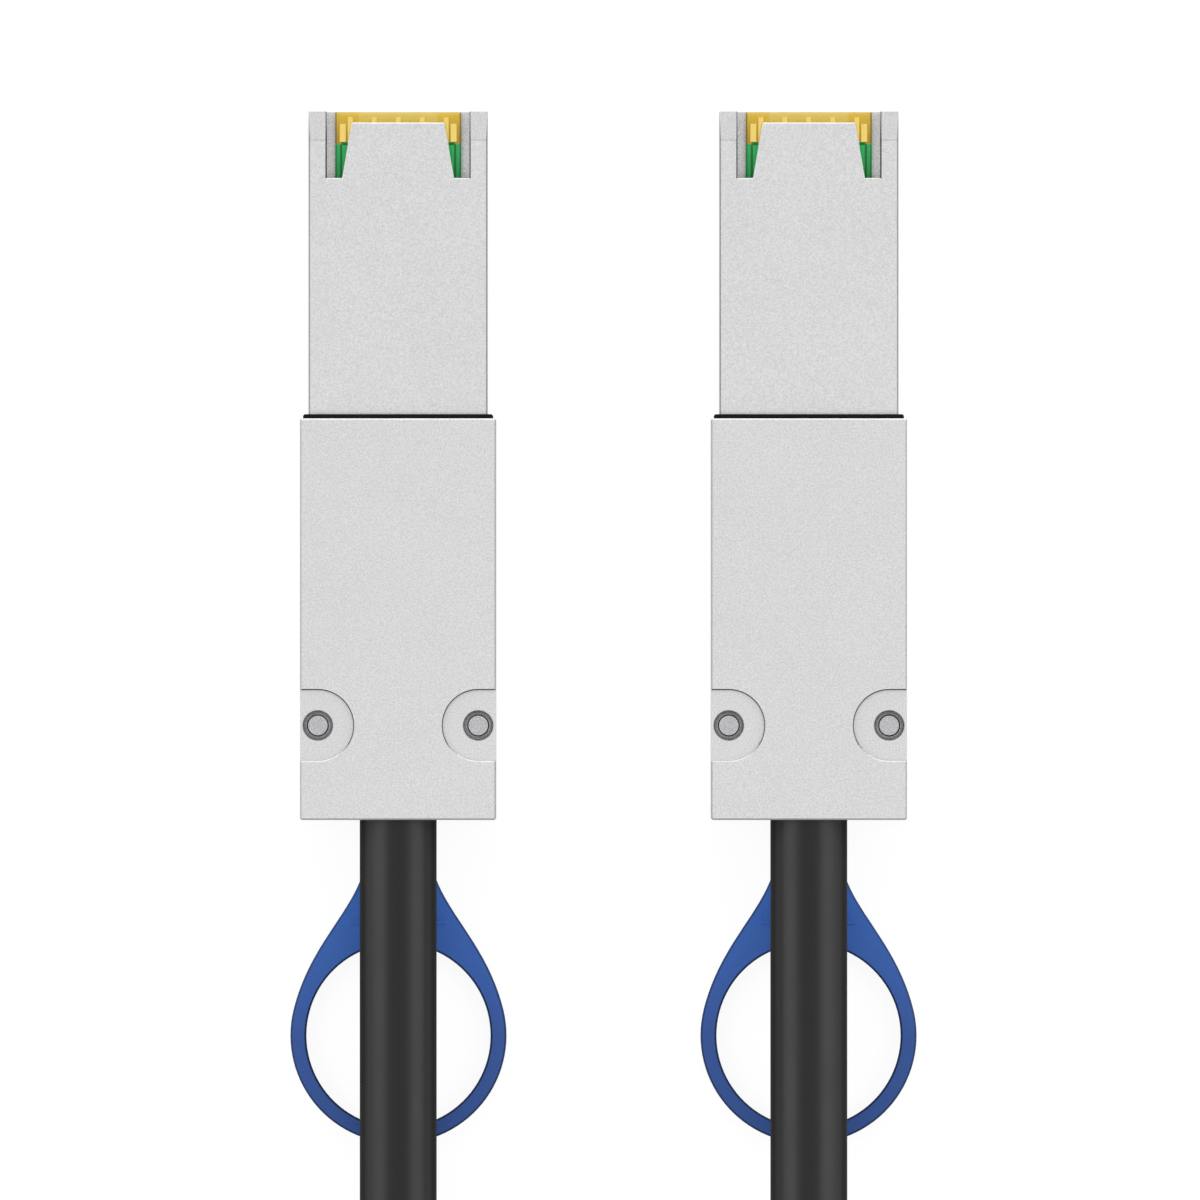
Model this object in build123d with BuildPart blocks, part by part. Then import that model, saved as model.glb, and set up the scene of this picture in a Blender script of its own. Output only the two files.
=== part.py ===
from build123d import *
from math import cos, pi, radians, sin, tan
import os

os.makedirs("parts", exist_ok=True)

# A round cable with a die-cast, latching plug at each end. Millimetres.
# The plugs lie side by side on their latch sides, with their noses towards +Y.
# Each plug is drawn with its shoulder at y = 0, its middle at x = 0 and its underside at z = 0,
# and is moved to its place at the end.

# Distance between the two plugs
plug_pitch = 41.1

# Running and fitting clearances
moving_clearance = 0.3
fit_clearance = 0.02
recess_clearance = 0.1

# Body of the die-cast shells
body_width = 19.6
body_length = 40.15
body_height = 11.8
casting_edge = 0.15
body_side_wall = 1.4
front_wall = 1.5
chamber_rear = 24.0
parting_height = 7.2

# Nose that goes into the receptacle
nose_width = 17.9
nose_height = 9.0
nose_length = 30.7
nose_underside = 1.9
nose_side_wall = 1.8
nose_cavity_height = 4.8
ramp_length = 2.85
ramp_drop = 0.15

# Tapered tongue over the card, between two open slots
slot_depth = 6.65
tongue_setback = 1.1
tongue_root_width = 11.2
tongue_tip_width = 9.3
tongue_corner = 0.12
slot_edge = 0.1

# Rear rivets and the shallow pockets around them
rivet_spacing = 16.04
rivet_setback = 30.7
rivet_diameter = 2.0
rivet_head_diameter = 3.0
rivet_head_height = 0.45
rivet_recess_diameter = 3.1
rivet_recess_depth = 0.6
pocket_radius = 3.55
pocket_depth = 0.3
pocket_edge = 0.1

# Shield gasket at the shoulder
gasket_width = 0.55
gasket_thickness = 0.43
gasket_edge = 0.15

# Circuit card and its contacts
card_width = 12.6
card_thickness = 1.0
card_setback = 0.05
card_rear = 14.0
card_bevel = 0.2
card_ear_width = 15.6
card_ear_front = 4.0
card_ear_length = 8.0
clamp_inner_width = 13.8
contact_pitch = 0.8
contacts_per_face = 13
contact_width = 0.5
contact_thickness = 0.05
ground_setback = 0.55
signal_setback = 1.45
contact_end = 6.1
side_contact_offset = 5.55
side_contact_width = 0.6
side_contact_setback = 1.2
side_contact_length = 1.8
solder_pad_length = 2.6

# Cord, its ferrule and the shielded pairs inside it
cord_diameter = 7.7
jacket_setback = 31.0
ferrule_bore = 6.1
flange_diameter = 8.2
flange_length = 1.2
pair_diameter = 1.3
pair_pitch = 2.4
pairs_per_face = 4
pair_circle_radius = 1.75
pair_fan_start = 13.5
pair_fan_end = 21.0

# Latch bay in the underside, with its cover
bay_width = 13.0
bay_front = 2.4
bay_roof = 0.6
cover_width = 18.4
cover_front = 1.5
cover_length = 25.0
cover_thickness = 0.4
cover_inset = 0.05
cover_corner_radius = 0.8
screw_spacing_x = 16.0
screw_front = 5.4
screw_spacing_y = 17.2
screw_length = 3.2
screw_head_diameter = 2.6
screw_diameter = 1.6
screw_head_height = 0.5

# Latch plate that turns on a cross pin
latch_thickness = 0.4
latch_height = 2.4
latch_width = 12.4
latch_rear = 16.5
latch_web_front = 9.5
latch_window_length = 2.0
latch_window_width = 10.8
arm_width = 1.8
arm_reach = 19.6
groove_reach = 20.4
barb_width = 1.4
barb_length = 2.2
barb_flat = 0.6
barb_drop = 1.4
follower_position = 6.0
follower_length = 0.6
follower_width = 1.2
follower_drop = 0.35
latch_lift_degrees = 2.0
pin_diameter = 1.0
pin_position = 14.0
pin_height = 3.35
pin_length = 15.0
ear_length = 2.4
ear_margin = 0.65
pin_running_clearance = 0.04

# Slider that lifts the latch, with its pull tab and return spring
release_travel = 2.5
slider_thickness = 0.6
slider_height = 0.9
slider_front = 3.2
slider_front_width = 12.2
slider_step = 9.2
slider_width = 10.4
slider_rear_bar = 1.4
slider_end_gap = 0.5
slider_tail_width = 4.8
slider_tail_end = 31.0
spring_window_front = 16.0
spring_window_rear = 20.6
spring_window_width = 8.8
spring_post_size = 0.8
spring_post_spacing = 7.2
spring_strip = 0.15
spring_height = 0.7
spring_gap = 0.05
channel_width = 8.4
channel_height = 2.1

# Moulded pull tab, a strap that flares into a finger ring
strap_width = 6.4
strap_front = 25.6
tab_thickness = 1.3
tab_edge = 0.2
ring_position = 61.8
ring_radius = 10.83
ring_bore_radius = 9.23
flare_length = 18.8
flare_start_pull = 5.6
flare_end_pull = 7.8
flare_meets_ring_at = 14.0
grip_rib_setbacks = [12.15, 11.35]
grip_rib_lengths = [8.4, 9.7]
grip_rib_width = 0.35
grip_rib_height = 0.15

# Levels and places worked out from the sizes above
nose_top = nose_underside + nose_height
nose_inner_width = nose_width - 2 * nose_side_wall
chamber_width = body_width - 2 * body_side_wall
cavity_floor = parting_height - nose_cavity_height / 2
cavity_ceiling = parting_height + nose_cavity_height / 2
card_bottom = parting_height - card_thickness / 2
card_top = parting_height + card_thickness / 2
bay_ceiling = cavity_floor - bay_roof
cover_recess_depth = cover_thickness + cover_inset
slider_neck = spring_window_rear + slider_rear_bar
bay_rear = slider_neck + release_travel + slider_end_gap
arm_center = (latch_width - arm_width) / 2
groove_width = arm_width + 2 * moving_clearance
lift_slope = (pin_position - follower_position) * tan(radians(latch_lift_degrees)) / release_travel
slider_top = slider_height + slider_thickness
tab_bottom = slider_height + slider_thickness / 2 - tab_thickness / 2
rivet_places = [(side * rivet_spacing / 2, -rivet_setback) for side in (-1, 1)]
screw_places = [
    (side * screw_spacing_x / 2, -screw_front - row * screw_spacing_y)
    for side in (-1, 1)
    for row in (0, 1)
]


def turned_solid(profile):
    """Solid of revolution about Z, from the points (radius, height) of its outline."""
    with BuildPart() as turned:
        with BuildSketch(Plane.XZ):
            with BuildLine():
                Polyline(*profile, close=True)
            make_face()
        revolve(axis=Axis.Z)
    return turned.part


def countersunk_screw(clearance):
    """Countersunk screw, head down, with its head's face at z = 0. The clearance makes its hole."""
    head = screw_head_diameter / 2 + clearance
    shank = screw_diameter / 2 + clearance
    end = screw_length + clearance
    return turned_solid([(0, 0), (head, 0), (shank, screw_head_height), (shank, end), (0, end)])


# Section of the nose, with its edges broken
with BuildSketch() as nose_outline:
    Rectangle(nose_width, nose_height)
    chamfer(nose_outline.vertices(), casting_edge)

# Outer form and inner spaces that the two shells share
with BuildPart() as plug_form:
    with BuildSketch(Plane.XY):
        with Locations((0, -body_length / 2)):
            Rectangle(body_width, body_length)
    extrude(amount=body_height)
    chamfer(plug_form.edges(), casting_edge)
    with BuildSketch(Plane.XZ):
        with Locations((0, nose_underside + nose_height / 2)):
            add(nose_outline.sketch)
    extrude(amount=-nose_length)
    with BuildSketch(Plane.XZ.offset(-nose_length)):
        with Locations((0, parting_height)):
            Rectangle(nose_inner_width, nose_cavity_height)
    extrude(amount=nose_length + front_wall, mode=Mode.SUBTRACT)
    with BuildSketch(Plane.XZ.offset(front_wall)):
        with Locations((0, parting_height)):
            Rectangle(chamber_width, nose_cavity_height)
    extrude(amount=chamber_rear - front_wall, mode=Mode.SUBTRACT)
    with BuildSketch(Plane.XZ.offset(chamber_rear)):
        with Locations((0, parting_height)):
            Circle(flange_diameter / 2 + recess_clearance / 2)
    extrude(amount=flange_length + fit_clearance, mode=Mode.SUBTRACT)
    with BuildSketch(Plane.XZ.offset(chamber_rear)):
        with Locations((0, parting_height)):
            Circle(cord_diameter / 2 + fit_clearance)
    extrude(amount=body_length - chamber_rear, mode=Mode.SUBTRACT)
    with BuildSketch(Plane.XY):
        with Locations(rivet_places):
            Circle(rivet_diameter / 2 + fit_clearance)
    extrude(amount=body_height, mode=Mode.SUBTRACT)

# Plain shell, with the tongue over the card
with BuildPart() as cover_shell:
    add(plug_form.part)
    split(bisect_by=Plane.XY.offset(parting_height), keep=Keep.TOP)
    with BuildSketch(Plane.XY.offset(nose_top)):
        with Locations((0, nose_length - slot_depth / 2)):
            Rectangle(nose_inner_width, slot_depth)
        with BuildLine():
            tongue_tip = nose_length - tongue_setback
            Polyline(
                (-tongue_root_width / 2, nose_length - slot_depth),
                (tongue_root_width / 2, nose_length - slot_depth),
                (tongue_tip_width / 2, tongue_tip - tongue_corner),
                (tongue_tip_width / 2 - tongue_corner, tongue_tip),
                (tongue_corner - tongue_tip_width / 2, tongue_tip),
                (-tongue_tip_width / 2, tongue_tip - tongue_corner),
                close=True,
            )
        make_face(mode=Mode.SUBTRACT)
    extrude(amount=cavity_ceiling - nose_top, mode=Mode.SUBTRACT)
    slot_rims = cover_shell.edges(Select.LAST).group_by(Axis.Z)[-1]
    chamfer([rim for rim in slot_rims if rim.center().Y < nose_length - slot_edge], slot_edge)
    for wall_start in (-nose_width / 2, nose_width / 2 - nose_side_wall):
        with BuildSketch(Plane.YZ.offset(wall_start)):
            with BuildLine():
                Polyline(
                    (nose_length - ramp_length, nose_top),
                    (nose_length, nose_top),
                    (nose_length, nose_top - ramp_drop),
                    close=True,
                )
            make_face()
        extrude(amount=nose_side_wall, mode=Mode.SUBTRACT)
    with BuildSketch(Plane.XY.offset(body_height)):
        with Locations(rivet_places):
            Circle(pocket_radius)
        pocket_side = (rivet_spacing + body_width) / 4
        with Locations((-pocket_side, -rivet_setback), (pocket_side, -rivet_setback)):
            Rectangle((body_width - rivet_spacing) / 2, 2 * pocket_radius)
    extrude(amount=-pocket_depth, mode=Mode.SUBTRACT)
    pocket_rims = cover_shell.edges(Select.LAST).group_by(Axis.Z)[-1]
    chamfer([rim for rim in pocket_rims if abs(rim.center().X) < body_width / 2 - casting_edge], pocket_edge)
    with BuildSketch(Plane.XY.offset(body_height - pocket_depth)):
        with Locations(rivet_places):
            Circle(rivet_recess_diameter / 2)
    extrude(amount=-rivet_recess_depth, mode=Mode.SUBTRACT)
    with BuildSketch(Plane.XY.offset(card_top)):
        clamp_center = (clamp_inner_width + chamber_width) / 4
        clamp_middle = -card_ear_front - card_ear_length / 2
        with Locations((-clamp_center, clamp_middle), (clamp_center, clamp_middle)):
            Rectangle((chamber_width - clamp_inner_width) / 2, card_ear_length)
    extrude(amount=cavity_ceiling - card_top)

# Latch shell, with the latch bay, the grooves of the latch arms and the channel of the strap
with BuildPart() as latch_shell:
    add(plug_form.part)
    split(bisect_by=Plane.XY.offset(parting_height), keep=Keep.BOTTOM)
    with BuildSketch(Plane.XY):
        with Locations((0, -cover_front - cover_length / 2)):
            RectangleRounded(
                cover_width + 2 * recess_clearance,
                cover_length + 2 * recess_clearance,
                cover_corner_radius,
            )
    extrude(amount=cover_recess_depth, mode=Mode.SUBTRACT)
    with BuildSketch(Plane.XY):
        with Locations((0, -(bay_front + bay_rear) / 2)):
            Rectangle(bay_width, bay_rear - bay_front)
    extrude(amount=bay_ceiling, mode=Mode.SUBTRACT)
    with BuildSketch(Plane.XY.offset(nose_underside)):
        groove_middle = (groove_reach - bay_front) / 2
        with Locations((-arm_center, groove_middle), (arm_center, groove_middle)):
            Rectangle(groove_width, groove_reach + bay_front)
    extrude(amount=bay_ceiling - nose_underside, mode=Mode.SUBTRACT)
    with BuildSketch(Plane.XY):
        with Locations((0, -(bay_rear + body_length) / 2)):
            Rectangle(channel_width, body_length - bay_rear)
    extrude(amount=channel_height, mode=Mode.SUBTRACT)
    with BuildSketch(Plane.YZ.offset(-pin_length / 2 - recess_clearance)):
        with Locations((-pin_position, pin_height)):
            Circle(pin_diameter / 2 + fit_clearance)
        with Locations((-pin_position, (pin_height + cover_recess_depth) / 2)):
            Rectangle(pin_diameter + 2 * fit_clearance, pin_height - cover_recess_depth)
    extrude(amount=pin_length + 2 * recess_clearance, mode=Mode.SUBTRACT)
    with BuildSketch(Plane.XY.offset(bay_ceiling)):
        post_center = spring_window_rear - moving_clearance - spring_post_size / 2
        for side in (-1, 1):
            with Locations((side * spring_post_spacing / 2, -post_center)):
                Rectangle(spring_post_size, spring_post_size)
    extrude(amount=slider_height - bay_ceiling)
    with Locations([(x, y, cover_inset) for x, y in screw_places]):
        add(countersunk_screw(fit_clearance), mode=Mode.SUBTRACT)
    with BuildSketch(Plane.XY):
        with Locations(rivet_places):
            Circle(rivet_recess_diameter / 2)
    extrude(amount=rivet_recess_depth, mode=Mode.SUBTRACT)
    with BuildSketch(Plane.XY.offset(card_bottom)):
        with Locations((-clamp_center, clamp_middle), (clamp_center, clamp_middle)):
            Rectangle((chamber_width - clamp_inner_width) / 2, card_ear_length)
    extrude(amount=cavity_floor - card_bottom)

# Conductive gasket round the nose, against the shoulder
with BuildPart() as shield_gasket:
    with BuildSketch(Plane.XZ):
        with Locations((0, nose_underside + nose_height / 2)):
            RectangleRounded(nose_width + 2 * gasket_width, nose_height + 2 * gasket_width, gasket_width)
            add(nose_outline.sketch, mode=Mode.SUBTRACT)
    extrude(amount=-gasket_thickness)
    chamfer(shield_gasket.faces().sort_by(Axis.Y)[-1].outer_wire().edges(), gasket_edge)

# Circuit card, clamped at its ears between the shells
with BuildPart() as paddle_card:
    with BuildSketch(Plane.XY.offset(card_bottom)):
        card_front = nose_length - card_setback
        with Locations((0, (card_front - card_rear) / 2)):
            Rectangle(card_width, card_front + card_rear)
        with Locations((0, clamp_middle)):
            Rectangle(card_ear_width, card_ear_length)
    extrude(amount=card_thickness)
    card_nose = paddle_card.faces().sort_by(Axis.Y)[-1]
    chamfer(card_nose.edges().filter_by(Axis.X), card_bevel)

# Contacts on both faces of the card: every third one is a longer ground
with BuildPart() as card_contacts:
    for face_height in (card_bottom - contact_thickness, card_top):
        with BuildSketch(Plane.XY.offset(face_height)):
            for index in range(contacts_per_face):
                contact_x = (index - (contacts_per_face - 1) / 2) * contact_pitch
                setback = ground_setback if index % 3 == 0 else signal_setback
                with Locations((contact_x, nose_length - (setback + contact_end) / 2)):
                    Rectangle(contact_width, contact_end - setback)
                with Locations((contact_x, solder_pad_length / 2 - card_rear)):
                    Rectangle(contact_width, solder_pad_length)
            side_contact_y = nose_length - side_contact_setback - side_contact_length / 2
            with Locations((-side_contact_offset, side_contact_y), (side_contact_offset, side_contact_y)):
                Rectangle(side_contact_width, side_contact_length)
        extrude(amount=contact_thickness)

# Eight shielded pairs, fanned out from a ring in the cord to two flat rows on the card
pair_start = card_rear - solder_pad_length
pair_lift = card_thickness / 2 + contact_thickness + pair_diameter / 2
with BuildPart() as wire_pairs:
    for face_side in (-1, 1):
        for index in range(pairs_per_face):
            row_x = (index - (pairs_per_face - 1) / 2) * pair_pitch
            row_z = parting_height + face_side * pair_lift
            angle = face_side * (pi - (index + 0.5) * pi / pairs_per_face)
            ring_x = pair_circle_radius * cos(angle)
            ring_z = parting_height + pair_circle_radius * sin(angle)
            with BuildLine() as pair_path:
                Polyline(
                    (row_x, -pair_start, row_z),
                    (row_x, -pair_fan_start, row_z),
                    (ring_x, -pair_fan_end, ring_z),
                    (ring_x, -jacket_setback, ring_z),
                )
            with BuildSketch(Plane.XZ.offset(pair_start)):
                with Locations((row_x, row_z)):
                    Circle(pair_diameter / 2)
            sweep(path=pair_path.wires()[0], transition=Transition.RIGHT)

# Ferrule that grips the cord's braid and seats in the shells with its flange
with BuildPart() as crimp_ferrule:
    with BuildSketch(Plane.XZ.offset(chamber_rear)):
        with Locations((0, parting_height)):
            Circle(flange_diameter / 2)
            Circle(ferrule_bore / 2, mode=Mode.SUBTRACT)
    extrude(amount=flange_length)
    with BuildSketch(Plane.XZ.offset(chamber_rear + flange_length)):
        with Locations((0, parting_height)):
            Circle(cord_diameter / 2)
            Circle(ferrule_bore / 2, mode=Mode.SUBTRACT)
    extrude(amount=jacket_setback - chamber_rear - flange_length)

# Two rivets with small coned heads, sunk in their recesses
rivet_top = body_height - pocket_depth - rivet_recess_depth
with BuildPart() as shell_rivets:
    rivet_profile = [
        (0, rivet_recess_depth - rivet_head_height),
        (rivet_diameter / 2, rivet_recess_depth - rivet_head_height),
        (rivet_head_diameter / 2, rivet_recess_depth),
        (rivet_diameter / 2, rivet_recess_depth),
        (rivet_diameter / 2, rivet_top),
        (rivet_head_diameter / 2, rivet_top),
        (rivet_diameter / 2, rivet_top + rivet_head_height),
        (0, rivet_top + rivet_head_height),
    ]
    with Locations([(x, y, 0) for x, y in rivet_places]):
        add(turned_solid(rivet_profile))

# Latch plate: two arms with barbs, and two ears that turn on the pin
latch_top = latch_height + latch_thickness
with BuildPart() as latch_plate:
    with BuildSketch(Plane.XY.offset(latch_height)):
        with Locations((0, -(latch_rear + latch_web_front) / 2)):
            Rectangle(latch_width, latch_rear - latch_web_front)
        with Locations((0, -pin_position)):
            Rectangle(latch_window_width, latch_window_length, mode=Mode.SUBTRACT)
        arm_middle = (arm_reach - latch_web_front) / 2
        with Locations((-arm_center, arm_middle), (arm_center, arm_middle)):
            Rectangle(arm_width, arm_reach + latch_web_front)
    extrude(amount=latch_thickness)
    for side in (-1, 1):
        ear_plane = Plane.YZ.offset(side * (latch_width - latch_thickness) / 2 - latch_thickness / 2)
        with BuildSketch(ear_plane):
            with Locations((-pin_position, (latch_height + pin_height + ear_margin) / 2)):
                Rectangle(ear_length, pin_height + ear_margin - latch_height)
            with Locations((-pin_position, pin_height)):
                Circle(pin_diameter / 2 + pin_running_clearance, mode=Mode.SUBTRACT)
        extrude(amount=latch_thickness)
        with BuildSketch(Plane.YZ.offset(side * arm_center - barb_width / 2)):
            with BuildLine():
                Polyline(
                    (arm_reach - barb_length, latch_height),
                    (arm_reach - barb_length, latch_height - barb_drop),
                    (arm_reach - barb_length + barb_flat, latch_height - barb_drop),
                    (arm_reach, latch_height),
                    close=True,
                )
            make_face()
        extrude(amount=barb_width)
    with BuildSketch(Plane.XY.offset(latch_height)):
        with Locations((-arm_center, -follower_position), (arm_center, -follower_position)):
            Rectangle(follower_width, follower_length)
    extrude(amount=-follower_drop)

# Pin that the latch plate turns on, kept in two open seats by the cover
with BuildPart() as latch_pin:
    with BuildSketch(Plane.YZ.offset(-pin_length / 2)):
        with Locations((-pin_position, pin_height)):
            Circle(pin_diameter / 2)
    extrude(amount=pin_length)

# Slider with two ramps under the followers, and a window for the return spring
ramp_under_follower = latch_height - follower_drop - moving_clearance
ramp_foot = -follower_position - (ramp_under_follower - slider_top) / lift_slope
ramp_crest = ramp_under_follower + (follower_position - slider_front) * lift_slope
with BuildPart() as pull_slider:
    with BuildSketch(Plane.XY.offset(slider_height)):
        with Locations((0, -(slider_front + slider_step) / 2)):
            Rectangle(slider_front_width, slider_step - slider_front)
        with Locations((0, -(slider_step + slider_neck) / 2)):
            Rectangle(slider_width, slider_neck - slider_step)
        with Locations((0, -(slider_neck + slider_tail_end) / 2)):
            Rectangle(slider_tail_width, slider_tail_end - slider_neck)
        with Locations((0, -(spring_window_front + spring_window_rear) / 2)):
            Rectangle(spring_window_width, spring_window_rear - spring_window_front, mode=Mode.SUBTRACT)
    extrude(amount=slider_thickness)
    for side in (-1, 1):
        with BuildSketch(Plane.YZ.offset(side * arm_center - follower_width / 2)):
            with BuildLine():
                Polyline(
                    (ramp_foot, slider_top),
                    (-slider_front, slider_top),
                    (-slider_front, ramp_crest),
                    close=True,
                )
            make_face()
        extrude(amount=follower_width)

# Return spring, a bowed strip between the slider and the two posts of the shell
post_front = post_center - spring_post_size / 2
with BuildPart() as return_spring:
    with BuildSketch(Plane.XY.offset(slider_height - (spring_height - slider_thickness) / 2)):
        with BuildLine():
            spring_end_x = (spring_post_spacing + spring_post_size) / 2
            spring_end_y = -post_front + spring_gap
            spring_crown_y = -spring_window_front - spring_gap
            ThreePointArc(
                (-spring_end_x, spring_end_y + spring_strip),
                (0, spring_crown_y),
                (spring_end_x, spring_end_y + spring_strip),
            )
            Line((spring_end_x, spring_end_y + spring_strip), (spring_end_x, spring_end_y))
            ThreePointArc(
                (spring_end_x, spring_end_y),
                (0, spring_crown_y - spring_strip),
                (-spring_end_x, spring_end_y),
            )
            Line((-spring_end_x, spring_end_y), (-spring_end_x, spring_end_y + spring_strip))
        make_face()
    extrude(amount=spring_height)

# Pull tab, moulded over the slider's tail
flare_angle = radians(flare_meets_ring_at)
ring_meet_x = ring_radius * cos(flare_angle)
ring_meet_y = ring_radius * sin(flare_angle) - ring_position
flare_y = flare_length - ring_position
with BuildPart() as pull_tab:
    with BuildSketch(Plane.XY.offset(tab_bottom)):
        with BuildLine():
            flanks = []
            for side in (-1, 1):
                Line((side * strap_width / 2, -strap_front), (side * strap_width / 2, flare_y))
                Bezier(
                    (side * strap_width / 2, flare_y),
                    (side * strap_width / 2, flare_y - flare_start_pull),
                    (
                        side * (ring_meet_x - flare_end_pull * sin(flare_angle)),
                        ring_meet_y + flare_end_pull * cos(flare_angle),
                    ),
                    (side * ring_meet_x, ring_meet_y),
                )
            Line((-strap_width / 2, -strap_front), (strap_width / 2, -strap_front))
            ThreePointArc(
                (-ring_meet_x, ring_meet_y),
                (0, -ring_position - ring_radius),
                (ring_meet_x, ring_meet_y),
            )
        make_face()
        with Locations((0, -ring_position)):
            Circle(ring_bore_radius, mode=Mode.SUBTRACT)
    extrude(amount=tab_thickness)
    chamfer(pull_tab.faces().filter_by(Axis.Z).edges(), tab_edge)
    with BuildSketch(Plane.XY.offset(slider_height)):
        with Locations((0, -(strap_front + slider_tail_end) / 2)):
            Rectangle(slider_tail_width, slider_tail_end - strap_front)
    extrude(amount=slider_thickness, mode=Mode.SUBTRACT)
    with BuildSketch(Plane.XY.offset(tab_bottom + tab_thickness)):
        for rib_setback, rib_length in zip(grip_rib_setbacks, grip_rib_lengths):
            with Locations((0, rib_setback - ring_position)):
                Rectangle(rib_length, grip_rib_width)
    extrude(amount=grip_rib_height)

# Cover of the latch bay, let into the underside
with BuildPart() as latch_cover:
    with BuildSketch(Plane.XY.offset(cover_inset)):
        with Locations((0, -cover_front - cover_length / 2)):
            RectangleRounded(cover_width, cover_length, cover_corner_radius)
    extrude(amount=cover_thickness)
    with Locations([(x, y, cover_inset) for x, y in screw_places]):
        add(countersunk_screw(fit_clearance), mode=Mode.SUBTRACT)

# Four screws of the cover
with BuildPart() as cover_screws:
    with Locations([(x, y, cover_inset) for x, y in screw_places]):
        add(countersunk_screw(0))

# Place of the plugs: together they are centred on the origin
tab_reach = ring_position + ring_radius
shoulder_y = (tab_reach - nose_length) / 2

# Coil of the put-away length: two layers of turns, beside and on each other
coil_center_y = -120.7
coil_outer_turn_radius = 46.0
coil_inner_turn_radius = 32.0
coil_layers = 2
coil_width = coil_outer_turn_radius - coil_inner_turn_radius + cord_diameter
coil_height = coil_layers * cord_diameter
coil_edge = 2.4
with BuildPart() as cable_coil:
    with BuildSketch(Plane.XZ.offset(-coil_center_y)) as cable_coil_section:
        with Locations(((coil_outer_turn_radius + coil_inner_turn_radius) / 2, coil_height / 2)):
            Rectangle(coil_width, coil_height)
        chamfer(cable_coil_section.vertices(), coil_edge)
    revolve(axis=Axis((0, coil_center_y, 0), (0, 0, 1)))

# Routes of the two leads, from the end of the jacket in each plug to the coil.
# The left lead goes in under the coil's outer turn, and the right one comes off its top.
jacket_y = shoulder_y - jacket_setback
left_route = [
    (-20.55, jacket_y, parting_height),
    (-20.55, -34.0, 7.2),
    (-20.55, -76.0, 5.6),
    (-38.3, -94.0, 3.9),
]
right_route = [
    (20.55, jacket_y, parting_height),
    (20.55, -34.0, 7.2),
    (20.55, -76.0, 9.3),
    (38.3, -94.0, 11.5),
]


def corner_radii(route):
    """Largest tangent arc at each corner of a route, 0.45 of the shorter run on each side."""
    radii = []
    for before, corner, after in zip(route, route[1:], route[2:]):
        arriving = Vector(*corner) - Vector(*before)
        leaving = Vector(*after) - Vector(*corner)
        half_turn = radians(arriving.get_angle(leaving)) / 2
        radii.append(0.45 * min(arriving.length, leaving.length) / tan(half_turn))
    return radii


def cord_tube(route):
    """Tube of the cord's diameter along straight runs joined by tangent arcs."""
    with BuildPart() as tube:
        with BuildLine() as path:
            FilletPolyline(*route, radius=corner_radii(route))
        with BuildSketch(Plane(origin=route[0], x_dir=(1, 0, 0), z_dir=(0, -1, 0))):
            Circle(cord_diameter / 2)
        sweep(path=path.wires()[0])
    path_length = path.wires()[0].length
    section = pi * cord_diameter**2 / 4
    print("lead", round(path_length, 1), "mm, radii", [round(radius, 1) for radius in corner_radii(route)])
    print("volume over section times length", round(tube.part.volume / (section * path_length), 5))
    return tube.part


# Every piece of one plug
plug_pieces = {
    "cover_shell": cover_shell,
    "latch_shell": latch_shell,
    "shield_gasket": shield_gasket,
    "paddle_card": paddle_card,
    "card_contacts": card_contacts,
    "wire_pairs": wire_pairs,
    "crimp_ferrule": crimp_ferrule,
    "shell_rivets": shell_rivets,
    "latch_plate": latch_plate,
    "latch_pin": latch_pin,
    "return_spring": return_spring,
    "pull_slider": pull_slider,
    "pull_tab": pull_tab,
    "latch_cover": latch_cover,
    "cover_screws": cover_screws,
}

for side_name, plug_x in (("left", -plug_pitch / 2), ("right", plug_pitch / 2)):
    for piece_name, piece in plug_pieces.items():
        placed = piece.part.moved(Location((plug_x, shoulder_y, 0)))
        placed.label = f"{side_name}_{piece_name}"
        export_step(placed, f"parts/{placed.label}.step")

for lead_name, route in (("left_lead", left_route), ("right_lead", right_route)):
    lead = cord_tube(route)
    lead.label = lead_name
    export_step(lead, f"parts/{lead_name}.step")

cable_coil.part.label = "cable_coil"
export_step(cable_coil.part, "parts/cable_coil.step")
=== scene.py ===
from math import asin, cos, pi, radians, sin

import bmesh
import bpy
from bpy.props import FloatProperty, FloatVectorProperty, PointerProperty
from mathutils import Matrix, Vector


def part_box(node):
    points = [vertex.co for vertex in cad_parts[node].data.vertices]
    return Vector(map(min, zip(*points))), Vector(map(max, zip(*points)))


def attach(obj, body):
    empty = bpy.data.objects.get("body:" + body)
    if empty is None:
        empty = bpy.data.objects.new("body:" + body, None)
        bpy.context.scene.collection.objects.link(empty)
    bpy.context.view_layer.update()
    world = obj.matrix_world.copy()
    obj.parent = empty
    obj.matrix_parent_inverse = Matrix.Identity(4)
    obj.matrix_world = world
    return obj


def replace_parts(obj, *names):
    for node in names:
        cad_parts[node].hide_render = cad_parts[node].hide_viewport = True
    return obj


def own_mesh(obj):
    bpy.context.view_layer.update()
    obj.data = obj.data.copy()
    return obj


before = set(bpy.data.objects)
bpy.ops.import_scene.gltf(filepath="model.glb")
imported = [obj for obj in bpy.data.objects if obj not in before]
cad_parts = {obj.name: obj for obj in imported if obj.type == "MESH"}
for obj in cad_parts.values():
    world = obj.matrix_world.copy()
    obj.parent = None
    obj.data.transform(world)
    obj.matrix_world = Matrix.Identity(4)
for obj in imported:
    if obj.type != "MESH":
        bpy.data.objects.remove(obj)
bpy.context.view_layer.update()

bl_info = {
    "name": "Latching Plug Cable",
    "version": (1, 0, 0),
    "blender": (4, 5, 0),
    "location": "3D View > Sidebar > Cable",
    "description": "Finishes a round cable that has a latching die-cast plug on each end",
    "category": "Object",
}

MM = 0.001
SIDES = ("left", "right")

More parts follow.
